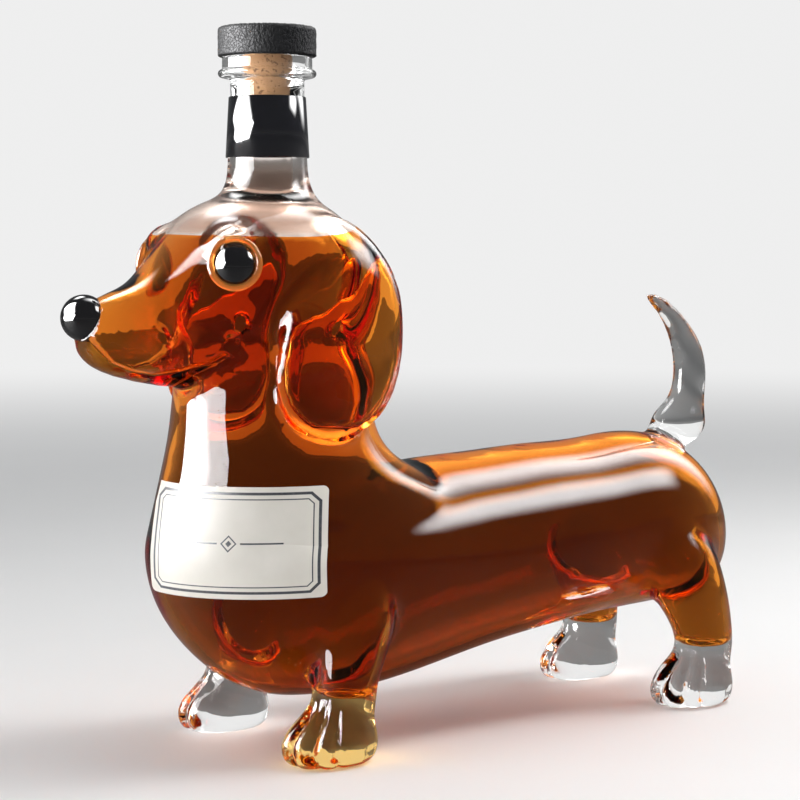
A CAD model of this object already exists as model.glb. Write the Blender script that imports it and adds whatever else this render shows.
import math

import bmesh
import bpy
from mathutils import Matrix, Vector, noise
from mathutils.bvhtree import BVHTree
from mathutils.kdtree import KDTree


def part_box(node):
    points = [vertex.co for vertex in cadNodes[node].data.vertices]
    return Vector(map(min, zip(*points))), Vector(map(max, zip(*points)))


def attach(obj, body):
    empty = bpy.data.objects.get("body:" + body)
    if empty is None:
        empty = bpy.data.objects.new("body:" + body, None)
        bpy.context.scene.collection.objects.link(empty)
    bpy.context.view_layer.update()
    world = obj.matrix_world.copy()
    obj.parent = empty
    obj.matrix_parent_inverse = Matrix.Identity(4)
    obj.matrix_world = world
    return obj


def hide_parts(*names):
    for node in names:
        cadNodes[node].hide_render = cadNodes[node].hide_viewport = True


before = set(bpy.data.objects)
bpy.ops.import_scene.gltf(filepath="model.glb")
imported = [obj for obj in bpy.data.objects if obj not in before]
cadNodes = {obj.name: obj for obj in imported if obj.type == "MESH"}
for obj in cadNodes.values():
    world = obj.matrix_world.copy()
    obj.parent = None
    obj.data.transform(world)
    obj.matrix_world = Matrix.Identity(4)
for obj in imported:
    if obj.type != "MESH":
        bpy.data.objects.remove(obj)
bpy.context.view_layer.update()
mm = 0.001
print("frame loaded,", len(cadNodes), "nodes")

scene = bpy.context.scene
scene.view_settings.view_transform = "Standard"
# light crosses many walls in a filled bottle
lightPaths = {"max_bounces": 40, "transmission_bounces": 40, "glossy_bounces": 12}
for setting, count in lightPaths.items():
    setattr(scene.cycles, setting, count)

# Camera, from where the photograph was taken
photo = {
    "place": (-0.5007, -0.6861, 0.1843),
    "heading": (0.5835, 0.8121),
    "dip": 3.99,
    "lens": 100,
    "sensor": 36,
    "pixels": 800,
}


def photoDirection():
    dip = math.radians(photo["dip"])
    across, along = photo["heading"]
    return Vector((across * math.cos(dip), along * math.cos(dip), -math.sin(dip)))


def makeCamera():
    data = bpy.data.cameras.new("photoCamera")
    data.lens = photo["lens"]
    data.sensor_width = photo["sensor"]
    data.clip_start = 0.05
    data.clip_end = 60
    camera = bpy.data.objects.new("photoCamera", data)
    scene.collection.objects.link(camera)
    camera.location = photo["place"]
    camera.rotation_mode = "QUATERNION"
    camera.rotation_quaternion = photoDirection().to_track_quat("-Z", "Y")
    scene.camera = camera


def pixelRay(across, down):
    # direction from the camera through a pixel of the photograph
    focal = photo["pixels"] * photo["lens"] / photo["sensor"]
    middle = photo["pixels"] / 2
    turn = photoDirection().to_track_quat("-Z", "Y")
    return turn @ Vector((across - middle, middle - down, -focal)).normalized()


makeCamera()
print("camera set")


class Wire:
    # an output socket that takes part in plain sums
    def __init__(self, sheet, socket):
        self.sheet = sheet
        self.socket = socket

    def __add__(self, other):
        return self.sheet.maths("ADD", self, other)

    def __radd__(self, other):
        return self.sheet.maths("ADD", other, self)

    def __sub__(self, other):
        return self.sheet.maths("SUBTRACT", self, other)

    def __rsub__(self, other):
        return self.sheet.maths("SUBTRACT", other, self)

    def __mul__(self, other):
        return self.sheet.maths("MULTIPLY", self, other)

    def __rmul__(self, other):
        return self.sheet.maths("MULTIPLY", other, self)

    def __truediv__(self, other):
        return self.sheet.maths("DIVIDE", self, other)

    def __rtruediv__(self, other):
        return self.sheet.maths("DIVIDE", other, self)

    def __pow__(self, other):
        return self.sheet.maths("POWER", self, other)

    def __abs__(self):
        return self.sheet.maths("ABSOLUTE", self)

    def atMost(self, other):
        return self.sheet.maths("MINIMUM", self, other)

    def atLeast(self, other):
        return self.sheet.maths("MAXIMUM", self, other)

    def fade(self, start, end):
        # 1 up to start, 0 past end
        return self.sheet.node(
            "ShaderNodeMapRange",
            {"interpolation_type": "SMOOTHSTEP"},
            {"Value": self, "From Min": start, "From Max": end, "To Min": 1.0, "To Max": 0.0},
        )


class NodeSheet:
    def __init__(self, tree):
        self.tree = tree
        tree.nodes.clear()

    def node(self, kind, settings=None, inputs=None, output=0):
        made = self.tree.nodes.new(kind)
        for name, value in (settings or {}).items():
            if name == "stops":
                ramp = made.color_ramp
                while len(ramp.elements) < len(value):
                    ramp.elements.new(0.5)
                for element, (place, colour) in zip(ramp.elements, value):
                    element.position = place
                    element.color = colour
            else:
                setattr(made, name, value)
        for name, value in (inputs or {}).items():
            if isinstance(value, Wire):
                self.tree.links.new(value.socket, made.inputs[name])
            else:
                made.inputs[name].default_value = value
        return Wire(self, made.outputs[output]) if len(made.outputs) else made

    def maths(self, operation, first, second=0.0):
        return self.node("ShaderNodeMath", {"operation": operation}, {0: first, 1: second})

    def mix(self, factor, first, second):
        return self.node(
            "ShaderNodeMix",
            {"data_type": "RGBA"},
            {0: factor, 6: first, 7: second},
            output=2,
        )

    def grain(self, scale, detail=2.0, roughness=0.5, vector=None):
        inputs = {"Scale": scale, "Detail": detail, "Roughness": roughness}
        inputs["Vector"] = vector or self.objectPlace()
        return self.node("ShaderNodeTexNoise", None, inputs)

    def objectPlace(self):
        return self.node("ShaderNodeTexCoord", output="Object")

    def bump(self, height, distance, strength=1.0):
        return self.node(
            "ShaderNodeBump", None, {"Height": height, "Distance": distance, "Strength": strength}
        )


def newFinish(name):
    material = bpy.data.materials.new(name)
    material.use_nodes = True
    return material, NodeSheet(material.node_tree)


def finishWith(sheet, inputs, volume=None):
    shader = sheet.node("ShaderNodeBsdfPrincipled", None, inputs)
    links = {"Surface": shader}
    if volume:
        links["Volume"] = volume
    sheet.node("ShaderNodeOutputMaterial", None, links)


def dress(piece, *materials):
    piece.data.materials.clear()
    for material in materials:
        piece.data.materials.append(material)


def newPiece(name, shape, body="vessel", replaces=(), smooth=True):
    mesh = bpy.data.meshes.new(name)
    shape.to_mesh(mesh)
    shape.free()
    for face in mesh.polygons:
        face.use_smooth = smooth
    piece = bpy.data.objects.new(name, mesh)
    scene.collection.objects.link(piece)
    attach(piece, body)
    if replaces:
        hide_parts(*replaces)
    return piece


# Clear glass of the bottle: body, head, ears, legs, paws and tail flow into each other
blownGlass = {
    "fineVoxel": 1.2 * mm,
    "voxel": 1.95 * mm,
    "smoothRounds": 8,
    "joinHeight": 226 * mm,
    "spareNeck": 5 * mm,
    "liquorOverlap": 0.12 * mm,
    "ior": 1.5,
    "liquorIor": 1.36,
    "tint": (0.985, 0.99, 0.985, 1),
    "shine": 0.3,
    "shineTint": (0.35, 0.35, 0.35, 1),
}
# small moves that sink each joined part into the body before they are fused
sink = {
    "ear_left": (0, 0.5, 0),
    "ear_right": (0, -0.5, 0),
    "tail": (-0.4, 0, -0.4),
    "leg_front_left": (0, 0, 0.4),
    "leg_front_right": (0, 0, 0.4),
    "leg_hind_left": (0, 0, 0.4),
    "leg_hind_right": (0, 0, 0.4),
}
pawStretch = 1.05
fusedPrefixes = ("glass_vessel", "glass_head", "bottle_neck", "ear_", "leg_", "paw_", "tail")
fusedNodes = [name for name in cadNodes if name.startswith(fusedPrefixes)]


def cadCopy(name):
    shape = bmesh.new()
    shape.from_mesh(cadNodes[name].data)
    bmesh.ops.remove_doubles(shape, verts=shape.verts, dist=1e-6)
    if name in sink:
        bmesh.ops.translate(shape, verts=shape.verts, vec=Vector(sink[name]) * mm)
    if name.startswith("paw_"):
        bmesh.ops.scale(shape, verts=shape.verts, vec=(1, 1, pawStretch))
    return shape


def remeshed(shape, voxel, rounds=0):
    # even quads over the shape, softened by a few rounds of smoothing
    mesh = bpy.data.meshes.new("holder")
    shape.to_mesh(mesh)
    shape.free()
    holder = bpy.data.objects.new("holder", mesh)
    scene.collection.objects.link(holder)
    modifier = holder.modifiers.new("voxels", "REMESH")
    modifier.mode = "VOXEL"
    modifier.voxel_size = voxel
    made = bmesh.new()
    made.from_object(holder, bpy.context.evaluated_depsgraph_get())
    bpy.data.objects.remove(holder)
    bpy.data.meshes.remove(mesh)
    for _ in range(rounds):
        bmesh.ops.smooth_vert(
            made, verts=made.verts, factor=0.5, use_axis_x=True, use_axis_y=True, use_axis_z=True
        )
    return made


def gather(names):
    gathered = bmesh.new()
    for name in names:
        shape = cadCopy(name)
        part = bpy.data.meshes.new("part")
        shape.to_mesh(part)
        shape.free()
        gathered.from_mesh(part)
        bpy.data.meshes.remove(part)
    return gathered


def cutAt(shape, height, drop=False):
    return bmesh.ops.bisect_plane(
        shape,
        geom=shape.verts[:] + shape.edges[:] + shape.faces[:],
        dist=1e-6,
        plane_co=(0, 0, height),
        plane_no=(0, 0, 1),
        clear_outer=drop,
    )


def reachedFrom(start):
    reached = {start}
    edge = [start]
    while edge:
        for side in edge.pop().edges:
            for other in side.link_faces:
                if other not in reached:
                    reached.add(other)
                    edge.append(other)
    return reached


def capped(shape):
    rims = [edge for edge in shape.edges if edge.is_boundary]
    made = bmesh.ops.contextual_create(shape, geom=rims)
    bmesh.ops.triangulate(shape, faces=made["faces"])
    return shape


def makeSkins():
    # the outer skin and the inner wall, each closed by itself above the join
    whole = remeshed(gather(fusedNodes), blownGlass["fineVoxel"])
    cutAt(whole, blownGlass["joinHeight"] + blownGlass["spareNeck"], drop=True)
    sole = min(whole.faces, key=lambda face: face.calc_center_median().z)
    outside = reachedFrom(sole)
    inner = whole.copy()
    inner.faces.ensure_lookup_table()
    whole.faces.index_update()
    kept = {face.index for face in outside}
    bmesh.ops.delete(inner, geom=[f for f in inner.faces if f.index in kept], context="FACES")
    bmesh.ops.delete(whole, geom=[f for f in whole.faces if f not in outside], context="FACES")
    print("skins apart:", len(whole.faces), "outer,", len(inner.faces), "inner faces")
    return capped(whole), capped(inner)


# Toes: each paw has three grooves that run out from its heel and part four round toes,
# turned a little outwards
toes = {
    "spacing": 27,
    "splay": 28,
    "heelShare": 0.1,
    "depth": 4.6,
    "top": 24.0,
    "full": 14.0,
    "heelRound": 10.0,
    "softenRounds": 2,
    "soften": 0.2,
}


def carveToes(skin):
    top = toes["top"] * mm
    low = [edge for edge in skin.edges if max(vert.co.z for vert in edge.verts) < top]
    bmesh.ops.subdivide_edges(skin, edges=low, cuts=1, use_grid_fill=True)
    skin.normal_update()
    moved = [vert for vert in skin.verts if vert.co.z < top]
    moves = []
    for name in fusedNodes:
        if not name.startswith("paw_"):
            continue
        near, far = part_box(name)
        heel = Vector(((near.x + far.x) / 2 + toes["heelShare"] * (far.x - near.x), (near.y + far.y) / 2, 0))
        splay = math.copysign(toes["splay"], heel.y)
        for vert in moved:
            if not (near.x < vert.co.x + mm and vert.co.x < heel.x and near.y < vert.co.y + mm < far.y + 2 * mm):
                continue
            away = Vector((vert.co.x - heel.x, vert.co.y - heel.y, 0))
            turn = math.degrees(math.atan2(away.y, -away.x)) - splay
            # places across the toes in half spacings, with a groove at each even one
            across = 2 * turn / toes["spacing"]
            across = max(-4, min(4, across))
            middle = max(-3, min(3, 2 * math.floor(across / 2) + 1))
            groove = 1 - math.sqrt(max(0, 1 - (across - middle) ** 2))
            if abs(across) > 3:
                groove = 0
            groove *= min(1, (toes["top"] - vert.co.z / mm) / (toes["top"] - toes["full"]))
            groove *= min(1, away.length / mm / toes["heelRound"])
            inward = -vert.normal if vert.normal.z > -0.3 else -away.normalized()
            moves.append((vert, vert.co + inward * groove * toes["depth"] * mm))
    for vert, place in moves:
        vert.co = place
    for _ in range(toes["softenRounds"]):
        bmesh.ops.smooth_vert(
            skin, verts=moved, factor=toes["soften"], use_axis_x=True, use_axis_y=True, use_axis_z=True
        )
    for vert in moved:
        vert.co.z = max(0, vert.co.z)
    print("toes carved,", len(moves), "points")


# Mouth: a groove pressed into the muzzle along a line of the photograph, on both sides
mouth = {
    "linePixels": ((91, 344), (111, 365), (133, 374), (156, 377), (182, 373), (215, 363), (225, 357)),
    "dimplePixel": (232, 341),
    "steps": 8,
    "grooveWidth": 1.3,
    "grooveDepth": 0.9,
    "dimpleWidth": 2.4,
    "dimpleDepth": 1.3,
    "near": 4.5,
}


def pressMouth(skin):
    tree = BVHTree.FromBMesh(skin)
    eye = Vector(photo["place"])
    line = []
    for start, end in zip(mouth["linePixels"], mouth["linePixels"][1:]):
        for step in range(mouth["steps"]):
            share = step / mouth["steps"]
            pixel = [start[side] + (end[side] - start[side]) * share for side in (0, 1)]
            point = tree.ray_cast(eye, pixelRay(*pixel))[0]
            if point:
                line.append(point)
    dimple = tree.ray_cast(eye, pixelRay(*mouth["dimplePixel"]))[0]
    places = KDTree(2 * len(line))
    for index, point in enumerate(line):
        places.insert(point, 2 * index)
        places.insert(Vector((point.x, -point.y, point.z)), 2 * index + 1)
    places.balance()
    near = mouth["near"] * mm
    around = {
        edge for face in skin.faces for edge in face.edges
        if face.calc_center_median().x < dimple.x + 2 * near
        and min(
            places.find(face.calc_center_median())[2],
            (Vector((dimple.x, math.copysign(dimple.y, face.verts[0].co.y), dimple.z))
             - face.calc_center_median()).length,
        ) < near
    }
    bmesh.ops.subdivide_edges(skin, edges=list(around), cuts=2, use_grid_fill=True)
    skin.normal_update()
    moves = []
    for vert in skin.verts:
        if vert.co.x > dimple.x + 2 * near:
            continue
        pit = Vector((dimple.x, math.copysign(dimple.y, vert.co.y), dimple.z))
        far = places.find(vert.co)[2] / mm
        away = (pit - vert.co).length / mm
        depth = mouth["grooveDepth"] * math.exp(-((far / mouth["grooveWidth"]) ** 2))
        depth += mouth["dimpleDepth"] * math.exp(-((away / mouth["dimpleWidth"]) ** 2))
        if depth > 0.01:
            moves.append((vert, vert.co - vert.normal * depth * mm))
    for vert, place in moves:
        vert.co = place
    print("mouth pressed,", len(moves), "points")


def makeGlass():
    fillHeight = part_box("liquor")[1].z
    skins = []
    for skin in makeSkins():
        skin = remeshed(skin, blownGlass["voxel"], blownGlass["smoothRounds"])
        cutAt(skin, blownGlass["joinHeight"], drop=True)
        skins.append(skin)
    outer, inner = skins
    carveToes(outer)
    pressMouth(outer)
    bmesh.ops.recalc_face_normals(inner, faces=inner.faces)
    cutAt(inner, fillHeight)
    # the wetted wall, and the liquor that it holds
    for face in inner.faces:
        face.material_index = 1 if face.calc_center_median().z < fillHeight else 0
    liquor = inner.copy()
    dry = [face for face in liquor.faces if face.material_index == 0]
    bmesh.ops.delete(liquor, geom=dry, context="FACES")
    liquor.normal_update()
    bmesh.ops.recalc_face_normals(liquor, faces=liquor.faces)
    moves = [(vert, vert.normal.copy()) for vert in liquor.verts]
    for vert, normal in moves:
        if vert.is_boundary:
            normal.z = 0
            normal.normalize()
        vert.co += normal * blownGlass["liquorOverlap"]
    ring = [edge for edge in liquor.edges if edge.is_boundary]
    top = bmesh.ops.contextual_create(liquor, geom=ring)["faces"]
    for face in liquor.faces:
        face.material_index = 0
    for face in top:
        face.material_index = 1
        if face.normal.z < 0:
            face.normal_flip()
    bmesh.ops.triangulate(liquor, faces=top)
    print("liquor,", len(liquor.faces), "faces, cap", len(top))
    part = bpy.data.meshes.new("part")
    inner.to_mesh(part)
    inner.free()
    outer.from_mesh(part)
    bpy.data.meshes.remove(part)
    # flat ring between the outer skin and the bore, hidden inside the band
    rims = [edge for edge in outer.edges if edge.is_boundary]
    bmesh.ops.triangle_fill(outer, use_beauty=True, edges=rims, normal=(0, 0, 1))
    bmesh.ops.recalc_face_normals(outer, faces=outer.faces)
    print("glass,", len(outer.faces), "faces")
    glass = newPiece("bottle_glass", outer, replaces=fusedNodes)
    drink = newPiece("amber_liquor", liquor, replaces=["liquor"])
    return glass, drink


# Stains in the clear glass, in millimetres: a film of liquor over the crown, above the fill,
# and amber drawn down into the front left paw
crownFilm = {"low": (187.0, 189.5), "high": (205.0, 221.0), "colour": (0.82, 0.64, 0.54, 1), "rough": 0.13}
pawStain = {"across": (-46, -38), "side": (-8, -3), "up": (26, 34), "colour": (1.0, 0.66, 0.22, 1)}


def between(value, low, high):
    # 1 between the two bands, 0 outside them
    return (1 - value.fade(*low)) * value.fade(*high)


def clearGlassFinish(name, ior):
    material, sheet = newFinish(name)
    waves = sheet.grain(38, 1.0)
    parts = sheet.node("ShaderNodeSeparateXYZ", None, {"Vector": sheet.objectPlace()}).socket.node
    x, y, z = (Wire(sheet, parts.outputs[index]) / mm for index in range(3))
    film = between(z, crownFilm["low"], crownFilm["high"]) * (0.75 + 0.25 * sheet.grain(60, 3.0))
    stain = x.fade(*pawStain["across"]) * y.fade(*pawStain["side"]) * z.fade(*pawStain["up"])
    colour = sheet.mix(film, blownGlass["tint"], crownFilm["colour"])
    finishWith(sheet, {
        "Base Color": sheet.mix(stain, colour, pawStain["colour"]),
        "Roughness": film * crownFilm["rough"],
        "IOR": ior,
        "Specular IOR Level": blownGlass["shine"],
        "Specular Tint": blownGlass["shineTint"],
        "Transmission Weight": 1.0,
        "Normal": sheet.bump(waves, 0.25 * mm, 0.35),
    })
    return material


liquorLook = {
    "tint": (1.0, 0.34, 0.035, 1),
    "absorb": (0.0125, 0.0255, 0.034),
    "density": 1000,
}


def liquorFinish(name, ior):
    material, sheet = newFinish(name)
    # the colour of the volume is what passes: one less what each metre takes away
    density = liquorLook["density"] * max(liquorLook["absorb"])
    passed = [1 - share / max(liquorLook["absorb"]) for share in liquorLook["absorb"]]
    volume = sheet.node(
        "ShaderNodeVolumeAbsorption", None, {"Color": (*passed, 1), "Density": density}
    )
    finishWith(sheet, {
        "Base Color": liquorLook["tint"],
        "Roughness": 0.0,
        "IOR": ior,
        "Transmission Weight": 1.0,
    }, volume)
    return material


glass, drink = makeGlass()
clearGlass = clearGlassFinish("clearGlass", blownGlass["ior"])
wettedGlass = clearGlassFinish("wettedGlass", blownGlass["ior"] / blownGlass["liquorIor"])
dress(glass, clearGlass, wettedGlass)
dress(
    drink,
    liquorFinish("liquorSide", 1.0),
    liquorFinish("liquorTop", blownGlass["liquorIor"]),
)
print("glass and liquor made")


def arcPoints(centre, radius, start, end, count):
    # points of an arc in the radius and height plane, angles in degrees
    points = []
    for step in range(count + 1):
        angle = math.radians(start + (end - start) * step / count)
        points.append((centre[0] + radius * math.cos(angle), centre[1] + radius * math.sin(angle)))
    return points


def turned(points, middle, steps, closed=False):
    # lathe shape from radius and height points in millimetres, round an upright axis
    shape = bmesh.new()
    verts = [shape.verts.new((middle[0] + r * mm, middle[1], z * mm)) for r, z in points]
    edges = [shape.edges.new(pair) for pair in zip(verts, verts[1:])]
    if closed:
        edges.append(shape.edges.new((verts[-1], verts[0])))
    bmesh.ops.spin(
        shape,
        geom=verts + edges,
        cent=(middle[0], middle[1], 0),
        axis=(0, 0, 1),
        angle=math.tau,
        steps=steps,
        use_merge=True,
    )
    bmesh.ops.remove_doubles(shape, verts=shape.verts, dist=1e-6)
    bmesh.ops.recalc_face_normals(shape, faces=shape.faces)
    return shape


def axisOf(name):
    low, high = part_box(name)
    return (low.x + high.x) / 2, (low.y + high.y) / 2


# Upper neck with bead and lip, from inside the band to the mouth
finish = {
    "neckRadius": 13.4,
    "shoulderRadius": 14.6,
    "bandTop": 237.7,
    "bandBottom": 215.8,
    "top": 252.05,
    "beadBottom": 244.6,
    "beadRadius": 17.8,
    "beadHalf": 1.45,
    "lipRadius": 16.3,
    "boreRadius": 9.25,
    "steps": 128,
}


def bandRadius(height):
    share = (height - finish["bandBottom"]) / (finish["bandTop"] - finish["bandBottom"])
    return finish["shoulderRadius"] + share * (finish["neckRadius"] - finish["shoulderRadius"])


def makeFinish():
    start = blownGlass["joinHeight"] / mm
    half = finish["beadHalf"]
    bead = (finish["beadRadius"] - half, finish["beadBottom"] + half)
    points = [(finish["boreRadius"], start), (bandRadius(start), start)]
    points.append((finish["neckRadius"], finish["bandTop"]))
    points.append((finish["neckRadius"], finish["beadBottom"] - 2.2))
    points += arcPoints((finish["neckRadius"] + 1.2, finish["beadBottom"] - 1.6), 1.2, 180, 90, 6)
    points += arcPoints(bead, half, -90, 90, 14)
    points.append((finish["lipRadius"], bead[1] + half + 0.35))
    points.append((finish["lipRadius"], finish["top"] - 0.9))
    points += arcPoints((finish["lipRadius"] - 0.9, finish["top"] - 0.9), 0.9, 0, 90, 6)
    points += arcPoints((finish["boreRadius"] + 0.7, finish["top"] - 0.7), 0.7, 90, 180, 6)
    shape = turned(points, axisOf("cork_shank"), finish["steps"], closed=True)
    return newPiece("bottle_finish", shape)


dress(makeFinish(), clearGlass)
print("neck finish made")

# Neck band
band = {"thickness": 0.6, "edge": 0.2, "steps": 128}


def makeBand():
    low, high = finish["bandBottom"], finish["bandTop"]
    edge = band["edge"]
    outLow = bandRadius(low) + band["thickness"]
    outHigh = bandRadius(high) + band["thickness"]
    points = [(bandRadius(low) + 0.02, low), (outLow - edge, low)]
    points += [(outLow, low + edge), (outHigh, high - edge)]
    points += [(outHigh - edge, high), (bandRadius(high) + 0.02, high)]
    shape = turned(points, axisOf("cork_shank"), band["steps"], closed=True)
    return newPiece("neck_wrap", shape, replaces=["neck_band"])


def bandFinish():
    material, sheet = newFinish("blackFilm")
    wear = sheet.grain(300, 3.0)
    finishWith(sheet, {
        "Base Color": sheet.mix(wear, (0.006, 0.006, 0.008, 1), (0.012, 0.012, 0.016, 1)),
        "Roughness": 0.05 + wear * 0.06,
        "IOR": 1.5,
        "Coat Weight": 0.4,
        "Coat Roughness": 0.03,
        "Normal": sheet.bump(sheet.grain(90, 2.0), 0.05 * mm, 0.3),
    })
    return material


dress(makeBand(), bandFinish())
print("band made")

# Cork
cork = {"radius": 9.2, "bottom": 230.1, "chamfer": 0.9, "top": 252.0, "steps": 120, "rough": 0.10}


def makeCork():
    radius, chamfer = cork["radius"] - cork["rough"], cork["chamfer"]
    points = [(0, cork["bottom"]), (radius / 2, cork["bottom"]), (radius - chamfer, cork["bottom"])]
    rows = 44
    first = cork["bottom"] + chamfer
    for row in range(rows + 1):
        points.append((radius, first + (cork["top"] - first) * row / rows))
    points.append((0, cork["top"]))
    shape = turned(points, axisOf("cork_shank"), cork["steps"])
    for vert in shape.verts:
        if vert.co.z < (cork["top"] - 1) * mm:
            pits = noise.noise(vert.co * 900) + 0.5 * noise.noise(vert.co * 2400)
            vert.co += vert.normal * max(-1.0, min(1.0, pits)) * cork["rough"] * mm
    return newPiece("cork_plug", shape, "stopper", ["cork_shank"])


def corkFinish():
    material, sheet = newFinish("cork")
    fine = sheet.grain(1600, 4.0, 0.6)
    broad = sheet.grain(260, 3.0)
    pores = sheet.grain(700, 2.0).fade(0.33, 0.42)
    tan = sheet.mix(broad, (0.36, 0.17, 0.075, 1), (0.62, 0.36, 0.18, 1))
    speckled = sheet.mix(fine, tan, (0.50, 0.27, 0.13, 1))
    finishWith(sheet, {
        "Base Color": sheet.mix(pores * 0.8, speckled, (0.12, 0.05, 0.02, 1)),
        "Roughness": 0.75 + fine * 0.2,
        "Normal": sheet.bump(fine - pores, 0.15 * mm, 0.7),
    })
    return material


dress(makeCork(), corkFinish())
print("cork made")

# Cap with pebble grain
cap = {
    "radius": 17.78,
    "bottom": 252.15,
    "top": 262.78,
    "edge": 1.5,
    "lowerEdge": 0.4,
    "pebble": 0.11,
    "pebbleSize": 1.15,
    "steps": 300,
    "spacing": 0.4,
}


def evenly(start, end, spacing):
    count = max(1, round(math.dist(start, end) / spacing))
    return [
        (start[0] + (end[0] - start[0]) * step / count, start[1] + (end[1] - start[1]) * step / count)
        for step in range(count)
    ]


def makeCap():
    radius, edge, lower, gap = cap["radius"], cap["edge"], cap["lowerEdge"], cap["spacing"]
    points = evenly((0, cap["bottom"]), (radius - lower, cap["bottom"]), 2.0)
    points += evenly((radius - lower, cap["bottom"]), (radius, cap["bottom"] + lower), gap)
    points += evenly((radius, cap["bottom"] + lower), (radius, cap["top"] - edge), gap)
    points += arcPoints((radius - edge, cap["top"] - edge), edge, 0, 90, 6)[:-1]
    points += evenly((radius - edge, cap["top"]), (0, cap["top"]), gap)
    points.append((0, cap["top"]))
    shape = turned(points, axisOf("stopper_cap"), cap["steps"])
    for vert in shape.verts:
        if vert.co.z > (cap["bottom"] + lower) * mm:
            near, _ = noise.voronoi(vert.co / (cap["pebbleSize"] * mm))
            rise = min(1.0, (near[1] - near[0]) * 2.2)
            vert.co += vert.normal * (rise * 2 - 1) * cap["pebble"] * mm
    return newPiece("cap_leather", shape, "stopper", ["stopper_cap"])


def capFinish():
    material, sheet = newFinish("pebbleLeather")
    fine = sheet.grain(2600, 3.0)
    broad = sheet.grain(240, 2.0)
    cells = sheet.node(
        "ShaderNodeTexVoronoi",
        {"feature": "DISTANCE_TO_EDGE"},
        {"Vector": sheet.objectPlace(), "Scale": 1 / (cap["pebbleSize"] * mm)},
        output="Distance",
    )
    creases = cells.fade(0.0, 0.16)
    finishWith(sheet, {
        "Base Color": sheet.mix(creases, (0.013, 0.013, 0.015, 1), (0.005, 0.005, 0.006, 1)),
        "Roughness": 0.42 + broad * 0.14 + creases * 0.25,
        "Specular IOR Level": 0.14,
        "Normal": sheet.bump(fine * 0.5 - creases, 0.12 * mm, 0.6),
    })
    return material


dress(makeCap(), capFinish())
print("cap made")

# Eyes and nose: polished black glass
blackBeads = {
    "eyePlace": (-99.06, 29.45, 177.88),
    "eyeOut": 58,
    "eyeUp": 8,
    "eyeRadius": 9.03,
    "eyeStand": 4.0,
    "nosePlace": (-142.0, 0, 159.2),
    "noseLook": (-0.96, 0, 0.28),
    "noseRadius": 8.1,
    "seat": 1.0,
    "ringRadius": 8.41,
    "ringThick": 1.25,
}


def makeDome(name, centre, look, radius, keptFrom, replaces):
    shape = bmesh.new()
    bmesh.ops.create_uvsphere(shape, u_segments=96, v_segments=64, radius=radius * mm)
    cut = bmesh.ops.bisect_plane(
        shape,
        geom=shape.verts[:] + shape.edges[:] + shape.faces[:],
        dist=1e-7,
        plane_co=(0, 0, keptFrom * mm),
        plane_no=(0, 0, 1),
        clear_inner=True,
    )
    ring = [item for item in cut["geom_cut"] if isinstance(item, bmesh.types.BMEdge)]
    bmesh.ops.contextual_create(shape, geom=ring)
    bmesh.ops.recalc_face_normals(shape, faces=shape.faces)
    turn = look.to_track_quat("Z", "Y").to_matrix().to_4x4()
    bmesh.ops.transform(shape, verts=shape.verts, matrix=Matrix.Translation(centre) @ turn)
    return newPiece(name, shape, replaces=replaces)


def blackGlassFinish():
    material, sheet = newFinish("blackGlass")
    depth = sheet.grain(120, 2.0)
    finishWith(sheet, {
        "Base Color": sheet.mix(depth, (0.002, 0.002, 0.003, 1), (0.006, 0.005, 0.006, 1)),
        "Roughness": 0.015 + depth * 0.02,
        "IOR": 1.75,
        "Normal": sheet.bump(depth, 0.04 * mm, 0.2),
    })
    return material


def makeBlackBeads():
    beads = []
    rings = []
    out, up = math.radians(blackBeads["eyeOut"]), math.radians(blackBeads["eyeUp"])
    for side, name in ((-1, "left"), (1, "right")):
        look = Vector((-math.cos(out) * math.cos(up), side * math.sin(out) * math.cos(up), math.sin(up)))
        x, y, z = blackBeads["eyePlace"]
        depth = blackBeads["eyeRadius"] - blackBeads["eyeStand"]
        centre = Vector((x, y * side, z)) * mm - look * depth * mm
        rings.append(makeEyeRing(name, Vector((x, y * side, z)) * mm, look))
        kept = depth - blackBeads["seat"]
        beads.append(makeDome(
            "eye_bead_" + name, centre, look, blackBeads["eyeRadius"], kept, ["eye_" + name]
        ))
    look = Vector(blackBeads["noseLook"]).normalized()
    centre = Vector(blackBeads["nosePlace"]) * mm
    beads.append(makeDome("nose_bead", centre, look, blackBeads["noseRadius"], -2.0, ["nose"]))
    return beads, rings


def makeEyeRing(name, centre, look):
    ring = blackBeads
    shape = bmesh.new()
    section = bmesh.ops.create_circle(shape, segments=24, radius=ring["ringThick"] * mm)["verts"]
    upright = Matrix.Rotation(math.pi / 2, 4, "X")
    bmesh.ops.transform(shape, verts=section, matrix=upright)
    bmesh.ops.translate(shape, verts=section, vec=(ring["ringRadius"] * mm, 0, 0))
    bmesh.ops.spin(
        shape, geom=shape.verts[:] + shape.edges[:], cent=(0, 0, 0), axis=(0, 0, 1),
        angle=math.tau, steps=96, use_merge=True,
    )
    bmesh.ops.remove_doubles(shape, verts=shape.verts, dist=1e-6)
    bmesh.ops.recalc_face_normals(shape, faces=shape.faces)
    turn = look.to_track_quat("Z", "Y").to_matrix().to_4x4()
    bmesh.ops.transform(shape, verts=shape.verts, matrix=Matrix.Translation(centre) @ turn)
    return newPiece("eye_ring_" + name, shape, replaces=["eye_rim_" + name])


def ringFinish():
    material, sheet = newFinish("amberRing")
    streaks = sheet.grain(150, 2.0)
    finishWith(sheet, {
        "Base Color": sheet.mix(streaks, (1.0, 0.50, 0.13, 1), (1.0, 0.36, 0.06, 1)),
        "Roughness": 0.02,
        "IOR": 1.45,
        "Transmission Weight": 0.7,
    })
    return material


blackGlass = blackGlassFinish()
beads, rings = makeBlackBeads()
for bead in beads:
    dress(bead, blackGlass)
amberRing = ringFinish()
for ring in rings:
    dress(ring, amberRing)
print("eyes and nose made")

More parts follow.
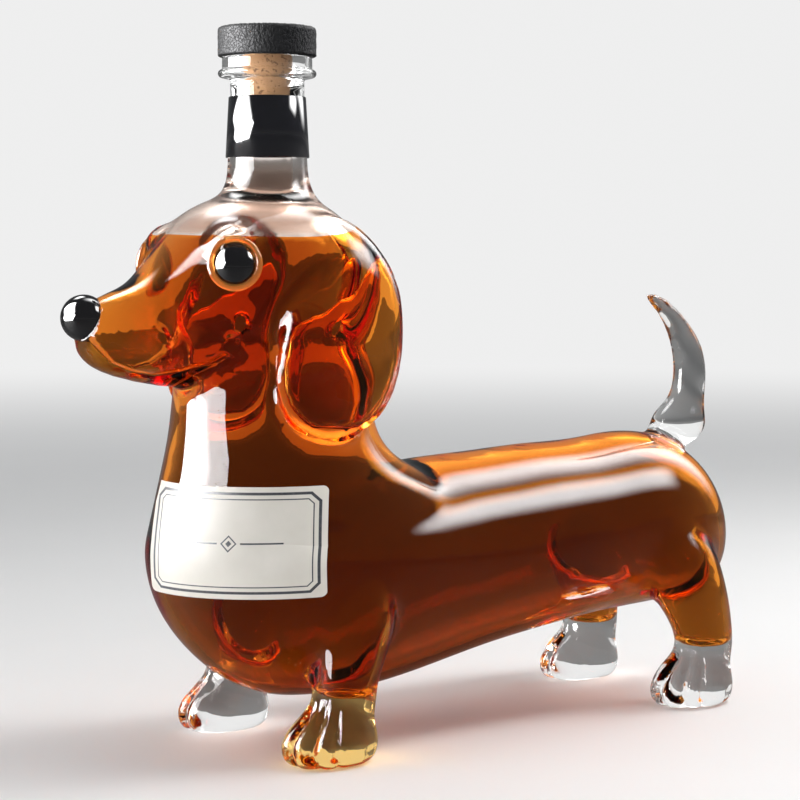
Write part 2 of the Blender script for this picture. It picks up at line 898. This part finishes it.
# Paper label on the chest, with a generic double frame
label = {
    "turn": 44,
    "axisShift": -66.9,
    "offset": -4.0,
    "middleHeight": 80.5,
    "width": 65,
    "height": 39,
    "outerInset": 2.3,
    "outerLine": 0.95,
    "innerInset": 4.3,
    "innerLine": 0.4,
    "notch": 4.2,
    "ink": (0.012, 0.018, 0.035, 1),
    "paper": (0.86, 0.82, 0.75, 1),
    "shade": (0.74, 0.70, 0.62, 1),
}


def labelFinish():
    material, sheet = newFinish("labelPaper")
    place = sheet.objectPlace()
    parts = sheet.node("ShaderNodeSeparateXYZ", None, {"Vector": place}, output=0)
    split = parts.socket.node
    x, y, z = (Wire(sheet, split.outputs[index]) for index in range(3))
    turn = math.radians(label["turn"])
    across = abs((x / mm - label["axisShift"]) * math.sin(turn) - y / mm * math.cos(turn) - label["offset"])
    up = abs(z / mm - label["middleHeight"])
    # distance outside a rectangle whose corners are cut off, in millimetres
    sideGap = across - label["width"] / 2
    topGap = up - label["height"] / 2
    outline = sideGap.atLeast(topGap).atLeast((sideGap + topGap + label["notch"]) * 0.7071)
    outer = abs(outline + label["outerInset"]).fade(label["outerLine"] / 2 - 0.08, label["outerLine"] / 2 + 0.08)
    inner = abs(outline + label["innerInset"]).fade(label["innerLine"] / 2 - 0.06, label["innerLine"] / 2 + 0.06)
    diamond = abs(across + up - 2.6).fade(0.25, 0.4)
    heart = (across + up).fade(1.0, 1.2)
    rule = up.fade(0.22, 0.34) * across.fade(18.5, 19.0) * (1 - across.fade(4.0, 4.3))
    ornament = diamond.atLeast(heart).atLeast(rule)
    ink = outer.atLeast(inner).atLeast(ornament)
    fibre = sheet.grain(900, 4.0, 0.6)
    mottle = sheet.grain(90, 3.0)
    worn = ink * (0.86 + fibre * 0.14)
    paper = sheet.mix(mottle, label["paper"], label["shade"])
    finishWith(sheet, {
        "Base Color": sheet.mix(worn, paper, label["ink"]),
        "Roughness": 0.58 - ink * 0.16,
        "Specular IOR Level": 0.25,
        "Normal": sheet.bump(fibre * 0.4 + ink, 0.03 * mm, 0.6),
    })
    return material


dress(cadNodes["chest_label"], labelFinish())
print("label dressed")

# Floor, world and lamps
studio = {
    "floorSize": 40,
    "floorColour": (0.75, 0.74, 0.73, 1),
    "floorFade": (0.5, 2.6),
    "pale": (0.86, 0.86, 0.86, 1),
    "worldColour": (0.94, 0.97, 1.0, 1),
    "worldLevel": 0.55,
    "glossShare": 0.25,
}


def makeFloor():
    shape = bmesh.new()
    bmesh.ops.create_grid(shape, x_segments=2, y_segments=2, size=studio["floorSize"] / 2)
    mesh = bpy.data.meshes.new("floor")
    shape.to_mesh(mesh)
    shape.free()
    floor = bpy.data.objects.new("floor", mesh)
    scene.collection.objects.link(floor)
    # the floor turns into the pale backdrop some way off, so no horizon shows
    material, sheet = newFinish("floor")
    reach = sheet.node(
        "ShaderNodeVectorMath", {"operation": "LENGTH"}, {0: sheet.objectPlace()}, output="Value"
    )
    near, far = studio["floorFade"]
    grain = sheet.grain(9, 2.0)
    lighter = tuple(min(1, part * 1.03) for part in studio["floorColour"][:3]) + (1,)
    table = sheet.node("ShaderNodeBsdfPrincipled", None, {
        "Base Color": sheet.mix(grain, studio["floorColour"], lighter),
        "Roughness": 0.6,
    })
    backdrop = sheet.node("ShaderNodeEmission", None, {"Color": studio["pale"], "Strength": 1.0})
    blend = sheet.node("ShaderNodeMixShader", None, {
        0: 1 - reach.fade(near, far), 1: table, 2: backdrop,
    })
    # gloss sees it dimmer, as it does the backdrop
    gloss = Wire(sheet, sheet.node("ShaderNodeLightPath").socket.node.outputs["Is Glossy Ray"])
    dark = sheet.node("ShaderNodeEmission", None, {"Strength": 0.0})
    seen = sheet.node("ShaderNodeMixShader", None, {
        0: gloss * (1 - studio["glossShare"]), 1: blend, 2: dark,
    })
    sheet.node("ShaderNodeOutputMaterial", None, {"Surface": seen})
    dress(floor, material)


def makeWorld():
    world = bpy.data.worlds.new("studio")
    world.use_nodes = True
    scene.world = world
    sheet = NodeSheet(world.node_tree)
    path = sheet.node("ShaderNodeLightPath").socket.node
    seen = Wire(sheet, path.outputs["Is Camera Ray"])
    seen = seen.atLeast(Wire(sheet, path.outputs["Is Transmission Ray"]))
    # gloss sees the same backdrop, but dimmer, as through a polarising filter
    gloss = Wire(sheet, path.outputs["Is Glossy Ray"]) * (1 - seen)
    colour = sheet.mix(seen, studio["worldColour"], studio["pale"])
    level = studio["worldLevel"] * (1 - gloss * (1 - studio["glossShare"]))
    level = level + seen * (1 - studio["worldLevel"])
    light = sheet.node("ShaderNodeBackground", None, {"Color": colour, "Strength": level})
    sheet.node("ShaderNodeOutputWorld", None, {"Surface": light})


# Soft boxes, each placed so that its reflection falls on a pixel of the photograph.
# Each is seen only by the named kinds of ray
softBoxes = {
    "keyBox": {
        "pixel": (560, 482), "distance": 0.9, "size": (1.7, 0.36), "level": 9, "soft": 0.32,
        "seenBy": ("diffuse", "transmission"),
    },
    "torsoBox": {
        "pixel": (560, 466), "distance": 0.9, "size": (1.9, 0.6), "level": 15, "soft": 0.5,
        "seenBy": ("glossy",),
    },
    "chestBox": {
        "pixel": (203, 446), "distance": 0.9, "size": (0.95, 0.9), "level": 40, "soft": 0.03,
        "seenBy": ("glossy",),
    },
    "eyeBox": {
        "pixel": (216, 247), "distance": 0.45, "size": (0.5, 0.5), "level": 24, "soft": 0.1,
        "seenBy": ("glossy",),
    },
    "earBox": {
        "pixel": (362, 252), "distance": 0.9, "size": (0.45, 0.5), "level": 26, "soft": 0.4,
        "seenBy": ("glossy",),
    },
    "browBox": {
        "pixel": (226, 216), "distance": 0.9, "size": (0.5, 0.4), "level": 12, "soft": 0.4,
        "seenBy": ("glossy",),
    },
}
# Broad lamp behind the bottle, seen only through the glass: it lights the liquor from behind
backBox = {
    "away": 0.75, "height": 0.85, "aim": 0.05, "size": (1.6, 0.8), "level": 3.0, "soft": 0.3,
    "seenBy": ("transmission",),
}


def softEdged(data, soft):
    # the lamp fades out towards its edges
    data.use_nodes = True
    sheet = NodeSheet(data.node_tree)
    place = sheet.node("ShaderNodeNewGeometry", output="Parametric")
    parts = sheet.node("ShaderNodeSeparateXYZ", None, {"Vector": place}).socket.node
    across = abs(Wire(sheet, parts.outputs[0]) - 0.5).fade(0.5 - soft, 0.5)
    up = abs(Wire(sheet, parts.outputs[1]) - 0.5).fade(0.5 - soft, 0.5)
    light = sheet.node("ShaderNodeEmission", None, {"Color": (1, 1, 1, 1), "Strength": across * up})
    sheet.node("ShaderNodeOutputLight", None, {"Surface": light})


def makeLamp(name, box, place, outward):
    # outward points from what is lit to the lamp, and the long side lies along the body
    data = bpy.data.lights.new(name, "AREA")
    data.shape = "RECTANGLE"
    data.size, data.size_y = box["size"]
    data.energy = box["level"] * math.pi * data.size * data.size_y
    softEdged(data, box["soft"])
    lamp = bpy.data.objects.new(name, data)
    scene.collection.objects.link(lamp)
    along = (Vector((1, 0, 0)) - outward * outward.x).normalized()
    turn = Matrix((along, outward.cross(along), outward)).transposed()
    lamp.matrix_world = Matrix.Translation(place) @ turn.to_4x4()
    for ray in ("camera", "diffuse", "glossy", "transmission", "volume_scatter"):
        setattr(lamp, "visible_" + ray, ray in box["seenBy"])
    print(name, [round(value, 3) for value in place], [round(value, 2) for value in outward])


def makeBackBox():
    heading = Vector((*photo["heading"], 0))
    place = heading * backBox["away"] + Vector((0, 0, backBox["height"]))
    outward = (place - Vector((0, 0, backBox["aim"]))).normalized()
    makeLamp("backBox", backBox, place, outward)


def makeSoftBoxes(mirrors):
    graph = bpy.context.evaluated_depsgraph_get()
    trees = [BVHTree.FromObject(piece, graph) for piece in mirrors]
    eye = Vector(photo["place"])
    # the normal is a mean over a few pixels, so that one facet doesn't turn the lamp
    spots = [(across, down) for across in (-6, -3, 0, 3, 6) for down in (-6, -3, 0, 3, 6)]
    for name, box in softBoxes.items():
        normal = Vector()
        for across, down in spots:
            ray = pixelRay(box["pixel"][0] + across, box["pixel"][1] + down)
            hits = [hit for hit in (tree.ray_cast(eye, ray) for tree in trees) if hit[0]]
            if hits:
                normal += min(hits, key=lambda hit: hit[3])[1]
        normal.normalize()
        ray = pixelRay(*box["pixel"])
        hits = [hit for hit in (tree.ray_cast(eye, ray) for tree in trees) if hit[0]]
        point = min(hits, key=lambda hit: hit[3])[0]
        mirror = ray - 2 * ray.dot(normal) * normal
        makeLamp(name, box, point + mirror * box["distance"], mirror)


makeFloor()
makeWorld()
makeSoftBoxes([glass] + beads)
makeBackBox()
print("studio made")
